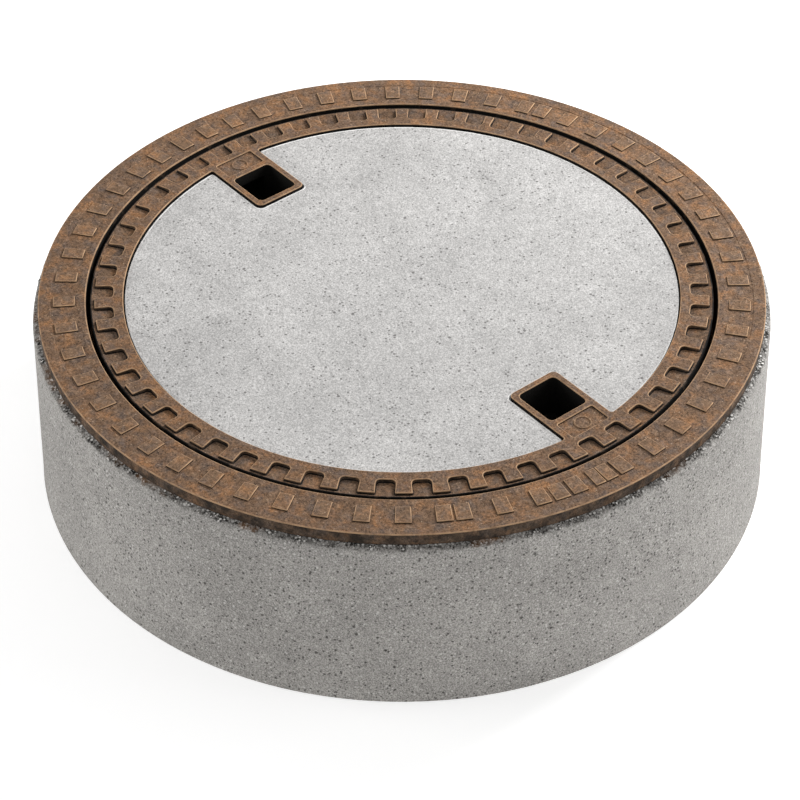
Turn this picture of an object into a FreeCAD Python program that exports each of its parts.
import FreeCAD, Part
import math
import os

from FreeCAD import Vector

# A round manhole cover in its frame: cast iron and concrete, with a lift-out cover.
# Millimetres. The origin is the centre of the base, +Z is up, and the two lifting
# pockets of the cover lie on the X axis.

os.makedirs("parts", exist_ok=True)

# ---- Driving dimensions: cover -------------------------------------------------------
cover_diameter = 653.0
cover_rim_width = 34.7  # iron rim seen around the concrete filling
rim_wall = 12.0  # upright wall of the cover's shell
rim_draft = 1.5  # radius lost by the rim from its top to its seat
deck_thickness = 12.0  # iron plate under the tread pattern
seat_depth = 60.0  # from the road surface down to the face the cover rests on
foot_thickness = 10.0  # flat foot of the shell that rests on the damping ring
pan_clearance = 7.0  # pan to the clear opening, on the radius
pan_drop = 10.0  # the pan's floor reaches this far below the seat
pan_floor_thickness = 8.0
pan_wall = 8.0
rib_depth = 8.0  # ribs under the pan's floor
rib_width = 10.0
rib_count = 8
rib_ring_radius = 150.0
filling_sink = 2.8  # the concrete lies this far below the iron around it

# ---- Driving dimensions: tread pattern of the cover ----------------------------------
# Runs of recesses: angle of the first one, spacing and number. The spacing isn't the
# same all round the cover.
recess_runs = [
    (206.1, 6.55, 35),
    (75.25, 6.343, 8),
    (125.0, 6.14, 13),
]
recess_width = 19.7
recess_depth = 4.6
recess_corner = 5.0
lip_width = 4.5  # low strip around the edge, at the depth of the recesses
band_width = 19.5  # length of a recess, from the lip inwards

# ---- Driving dimensions: lifting pockets ---------------------------------------------
pocket_width = 49.0  # hole, across
pocket_length = 51.0  # hole, along the radius
pocket_corner = 5.5
pocket_wall = 6.5
pocket_depth = 48.0
pocket_floor = 6.0
bridge_length = 29.8  # iron between the hole and the rim, which the lifting hook grips
bridge_thickness = 14.0
undercut_length = 22.0  # hollow under the bridge for the hook's toe
panel_margin = 7.0  # plain iron around the sunk panel on the bridge
panel_sink = 1.5
badge_radius = 9.7
badge_ring = 2.2
badge_rise = 0.8

# ---- Driving dimensions: frame -------------------------------------------------------
frame_height = 220.0  # base to the top of the studs
cover_gap = 4.5  # open gap round the cover, on the radius
seat_width = 21.5  # part of the cover's radius that rests on the seat
flange_width = 49.7
flange_thickness = 13.6
flange_wall = 11.0  # upright wall between the flange and the seat
seat_thickness = 20.0
inner_rim_width = 10.0  # plain strips on both sides of the stud band
outer_rim_width = 12.7
band_sink = 0.6
stud_rise = 2.0
stud_width = 16.0
stud_length = 23.0
stud_edge = 0.9  # bevel round a stud's top
# Runs of studs, in the same way. They don't close evenly round the flange, so odd
# studs are squeezed in between the others at the end.
stud_runs = [
    (-2.5, 6.745, 10),
    (64.7, 6.257, 8),
    (113.7, 0.0, 1),
    (117.1, 6.25, 9),
    (173.0, 5.65, 5),
    (201.8, 6.6, 5),
    (234.9, 6.95, 6),
    (276.2, 6.34, 9),
    (329.9, 6.3, 4),
    (345.7, 0.0, 1),
    (352.4, 2.2, 2),
]

# ---- Driving dimensions: damping ring, anchors, concrete and its steel ---------------
ring_width = 14.0
ring_height = 6.0
ring_groove = 3.0  # depth of the groove in the seat that holds the damping ring
ring_inset = 4.0  # from the inner edge of the seat
anchor_count = 12
anchor_thickness = 10.0
anchor_reach = 34.0  # how far an anchor stands out of the flange wall
anchor_height = 40.0
shaft_step = 7.5  # the concrete bore is this much wider than the iron seat's
concrete_border = 6.6  # concrete outside the flange, at the top
concrete_taper = 5.2  # radius gained from there down to the base
concrete_chamfer = 2.5
base_bevel = 1.5
hoop_diameter = 8.0
stirrup_diameter = 6.0
stirrup_count = 12
steel_cover = 20.0  # concrete between the base and the nearest bar
hoop_drop = 20.0  # flange's underside to the middle of the upper hoop
tie_gap = 0.5  # between a hoop and the links tied round it

# ---- Levels and radii that follow ----------------------------------------------------
road_z = frame_height - stud_rise + band_sink
seat_z = road_z - seat_depth
pan_z = seat_z - pan_drop
flange_z = road_z - flange_thickness
cover_z = seat_z + ring_height - ring_groove
deck_z = road_z - deck_thickness
recess_z = road_z - recess_depth
filling_z = road_z - filling_sink

cover_r = cover_diameter / 2
filling_r = cover_r - cover_rim_width
foot_r = cover_r - rim_draft
clear_r = cover_r - seat_width
pan_r = clear_r - pan_clearance
opening_r = cover_r + cover_gap
flange_r = opening_r + flange_width
wall_r = opening_r + flange_wall
shaft_r = clear_r + shaft_step
top_r = flange_r + concrete_border
base_r = top_r + concrete_taper
pocket_outer = filling_r - bridge_length
pocket_inner = pocket_outer - pocket_length
hoop_r = wall_r + anchor_reach / 2
upper_hoop_z = flange_z - hoop_drop
lower_hoop_z = steel_cover + stirrup_diameter + hoop_diameter / 2

UP = Vector(0, 0, 1)
ORIGIN = Vector(0, 0, 0)


def turned(points):
    """Revolves a closed outline of (radius, height) points about the Z axis."""
    corners = [Vector(r, 0, z) for r, z in points]
    face = Part.Face(Part.makePolygon(corners + corners[:1]))
    return face.revolve(ORIGIN, UP, 360)


def block(x0, x1, y0, y1, z0, z1):
    return Part.makeBox(x1 - x0, y1 - y0, z1 - z0, Vector(x0, y0, z0))


def rounded_block(x0, x1, y0, y1, z0, z1, radius):
    """A block whose four upright edges are rounded."""
    solid = block(x0, x1, y0, y1, z0, z1)
    upright = [e for e in solid.Edges if abs(e.tangentAt(e.FirstParameter).z) > 0.9]
    return solid.makeFillet(radius, upright)


def about_z(shape, angle):
    return shape.rotated(ORIGIN, UP, angle)


def around(shape, count, start=0.0):
    """Copies of a shape, evenly spaced about the Z axis."""
    return [about_z(shape, start + 360.0 * i / count) for i in range(count)]


def in_runs(shape, runs):
    """Copies of a shape in runs of (first angle, spacing, number) about the Z axis."""
    angles = [start + spacing * i for start, spacing, count in runs for i in range(count)]
    return [about_z(shape, angle) for angle in angles]


def save(node, shape):
    shape = shape.removeSplitter()
    assert shape.isValid(), node
    shape.exportStep("parts/" + node + ".step")
    return shape


# ---- Cover casting -------------------------------------------------------------------
def recess():
    """One recess of the tread pattern, with its inner corners rounded."""
    inner = cover_r - lip_width - band_width
    outer = cover_r + 2 * recess_corner
    half = recess_width / 2
    return rounded_block(inner, outer, -half, half, recess_z, road_z + 1, recess_corner)


def pocket_box():
    """Iron box around a lifting pocket, from its inner wall out under the rim."""
    half = pocket_width / 2 + pocket_wall
    low = road_z - pocket_depth - pocket_floor
    inner = pocket_inner - pocket_wall
    box = rounded_block(inner, filling_r + 2 * pocket_wall, -half, half, low, road_z, pocket_wall)
    inside_rim = Part.makeCylinder(filling_r + rim_wall, frame_height)
    return box.common(inside_rim)


def pocket_hole():
    """The hole of a lifting pocket, with the hollow under its bridge."""
    half = pocket_width / 2
    low = road_z - pocket_depth
    hole = rounded_block(
        pocket_inner, pocket_outer, -half, half, low, road_z + 1, pocket_corner
    )
    undercut = rounded_block(
        pocket_outer - 3 * pocket_corner,
        pocket_outer + undercut_length,
        -half,
        half,
        low,
        road_z - bridge_thickness,
        pocket_corner,
    )
    return hole.fuse(undercut)


def bridge_panel():
    """What is sunk out of the bridge: a panel, less its plain round badge."""
    half = pocket_width / 2
    inner = pocket_outer + panel_margin
    outer = filling_r + 1
    panel = rounded_block(inner, outer, -half, half, road_z - panel_sink, road_z + 1, 2.0)
    middle = Vector((inner + outer) / 2, 0, road_z - panel_sink)
    badge = Part.makeCylinder(badge_radius, badge_rise, middle)
    badge = badge.cut(Part.makeCylinder(badge_radius - badge_ring, badge_rise, middle))
    return panel.cut(badge)


def cover_casting():
    shell = turned(
        [
            (0, pan_z),
            (pan_r, pan_z),
            (pan_r, cover_z),
            (foot_r, cover_z),
            (cover_r, road_z),
            (filling_r, road_z),
            (filling_r, deck_z),
            (foot_r - rim_wall, deck_z),
            (foot_r - rim_wall, cover_z + foot_thickness),
            (pan_r - pan_wall, cover_z + foot_thickness),
            (pan_r - pan_wall, pan_z + pan_floor_thickness),
            (0, pan_z + pan_floor_thickness),
        ]
    )
    lip = turned(
        [
            (cover_r - lip_width, recess_z),
            (cover_r + 1, recess_z),
            (cover_r + 1, road_z + 1),
            (cover_r - lip_width, road_z + 1),
        ]
    )
    overlap = 1.0
    rib = block(
        rib_ring_radius,
        pan_r - overlap,
        -rib_width / 2,
        rib_width / 2,
        pan_z - rib_depth,
        pan_z + overlap,
    )
    ring = turned(
        [
            (rib_ring_radius - rib_width, pan_z - rib_depth),
            (rib_ring_radius + rib_width, pan_z - rib_depth),
            (rib_ring_radius + rib_width, pan_z + overlap),
            (rib_ring_radius - rib_width, pan_z + overlap),
        ]
    )
    solid = shell.fuse([ring] + around(rib, rib_count, 180.0 / rib_count))
    solid = solid.fuse(around(pocket_box(), 2))
    solid = solid.cut(around(pocket_hole(), 2) + around(bridge_panel(), 2))
    return solid.cut([lip] + in_runs(recess(), recess_runs))


def cover_filling(casting):
    """Concrete that fills the cover's shell, around the pockets."""
    blank = turned(
        [
            (0, pan_z + pan_floor_thickness),
            (pan_r - pan_wall, pan_z + pan_floor_thickness),
            (pan_r - pan_wall, cover_z + foot_thickness),
            (foot_r - rim_wall, cover_z + foot_thickness),
            (foot_r - rim_wall, deck_z),
            (filling_r, deck_z),
            (filling_r, filling_z),
            (0, filling_z),
        ]
    )
    return blank.cut([casting] + around(pocket_hole(), 2))


# ---- Frame ---------------------------------------------------------------------------
def stud():
    inner = opening_r + inner_rim_width + 1
    half = stud_width / 2
    low = road_z - band_sink
    solid = block(inner, inner + stud_length, -half, half, low - 1, low + stud_rise)
    top = [e for e in solid.Edges if e.CenterOfMass.z > low + stud_rise - 0.01]
    return solid.makeChamfer(stud_edge, top)


def anchor():
    """A gusset cast under the flange, with the hole that the upper hoop runs through."""
    half = anchor_thickness / 2
    inner = wall_r - 1
    outer = wall_r + anchor_reach
    top = flange_z + 1
    corners = [
        Vector(inner, -half, top),
        Vector(outer, -half, top),
        Vector(outer, -half, flange_z - anchor_height / 2),
        Vector(inner, -half, flange_z - anchor_height),
    ]
    outline = Part.makePolygon(corners + corners[:1])
    return Part.Face(outline).extrude(Vector(0, anchor_thickness, 0))


def frame_casting():
    ledge_z = seat_z - seat_thickness
    groove_inner = clear_r + ring_inset
    groove_outer = groove_inner + ring_width
    body = turned(
        [
            (clear_r, ledge_z),
            (wall_r, ledge_z),
            (wall_r, flange_z),
            (flange_r, flange_z),
            (flange_r, road_z),
            (flange_r - outer_rim_width, road_z),
            (flange_r - outer_rim_width, road_z - band_sink),
            (opening_r + inner_rim_width, road_z - band_sink),
            (opening_r + inner_rim_width, road_z),
            (opening_r, road_z),
            (opening_r, seat_z),
            (groove_outer, seat_z),
            (groove_outer, seat_z - ring_groove),
            (groove_inner, seat_z - ring_groove),
            (groove_inner, seat_z),
            (clear_r, seat_z),
        ]
    )
    body = body.fuse(in_runs(stud(), stud_runs))
    body = body.fuse(around(anchor(), anchor_count))
    return body.cut(hoop(upper_hoop_z))


def damping_ring():
    inner = clear_r + ring_inset
    low = seat_z - ring_groove
    return turned(
        [
            (inner, low),
            (inner + ring_width, low),
            (inner + ring_width, low + ring_height),
            (inner, low + ring_height),
        ]
    )


# ---- Concrete body and its reinforcement ---------------------------------------------


def hoop(height):
    return Part.makeTorus(hoop_r, hoop_diameter / 2, Vector(0, 0, height))


def link_corner(x, z, side_x, side_z, bend):
    """The arc at one corner of a link, and the two points it joins."""
    diagonal = bend * (1 - math.sqrt(0.5))
    upright = Vector(x, 0, z - side_z * bend)
    middle = Vector(x - side_x * diagonal, 0, z - side_z * diagonal)
    level = Vector(x - side_x * bend, 0, z)
    return upright, middle, level


def stirrup():
    """A closed link bent round the outside of both hoops."""
    off = (hoop_diameter + stirrup_diameter) / 2 + tie_gap
    bend = stirrup_diameter
    x0 = hoop_r - off
    x1 = hoop_r + off
    z0 = lower_hoop_z - off
    z1 = upper_hoop_z + off
    outer_low = link_corner(x1, z0, 1, -1, bend)
    outer_high = link_corner(x1, z1, 1, 1, bend)
    inner_high = link_corner(x0, z1, -1, 1, bend)
    inner_low = link_corner(x0, z0, -1, -1, bend)
    edges = [
        Part.LineSegment(outer_low[0], outer_high[0]),
        Part.Arc(*outer_high),
        Part.LineSegment(outer_high[2], inner_high[2]),
        Part.Arc(*reversed(inner_high)),
        Part.LineSegment(inner_high[0], inner_low[0]),
        Part.Arc(*inner_low),
        Part.LineSegment(inner_low[2], outer_low[2]),
        Part.Arc(*reversed(outer_low)),
    ]
    path = Part.Wire([edge.toShape() for edge in edges])
    section = Part.Wire(Part.makeCircle(stirrup_diameter / 2, outer_low[0], UP))
    return path.makePipeShell([section], True, False)


def concrete_body(casting, steel):
    ledge_z = seat_z - seat_thickness
    blank = turned(
        [
            (shaft_r, 0),
            (base_r - base_bevel, 0),
            (base_r, base_bevel),
            (top_r, flange_z - concrete_chamfer),
            (flange_r + concrete_chamfer / 2, flange_z),
            (wall_r, flange_z),
            (wall_r, ledge_z),
            (shaft_r, ledge_z),
        ]
    )
    for piece in [casting] + steel:
        blank = blank.cut(piece)
    return blank


# ---- Build ---------------------------------------------------------------------------
cover = save("cover_casting", cover_casting())
save("cover_concrete_filling", cover_filling(cover))

frame = save("frame_casting", frame_casting())
save("damping_ring", damping_ring())
upper = save("upper_hoop", hoop(upper_hoop_z))
lower = save("lower_hoop", hoop(lower_hoop_z))
links = around(stirrup(), stirrup_count, 180.0 / stirrup_count)
save("stirrups", Part.makeCompound(links))
save("frame_concrete_body", concrete_body(frame, [upper, lower] + links))
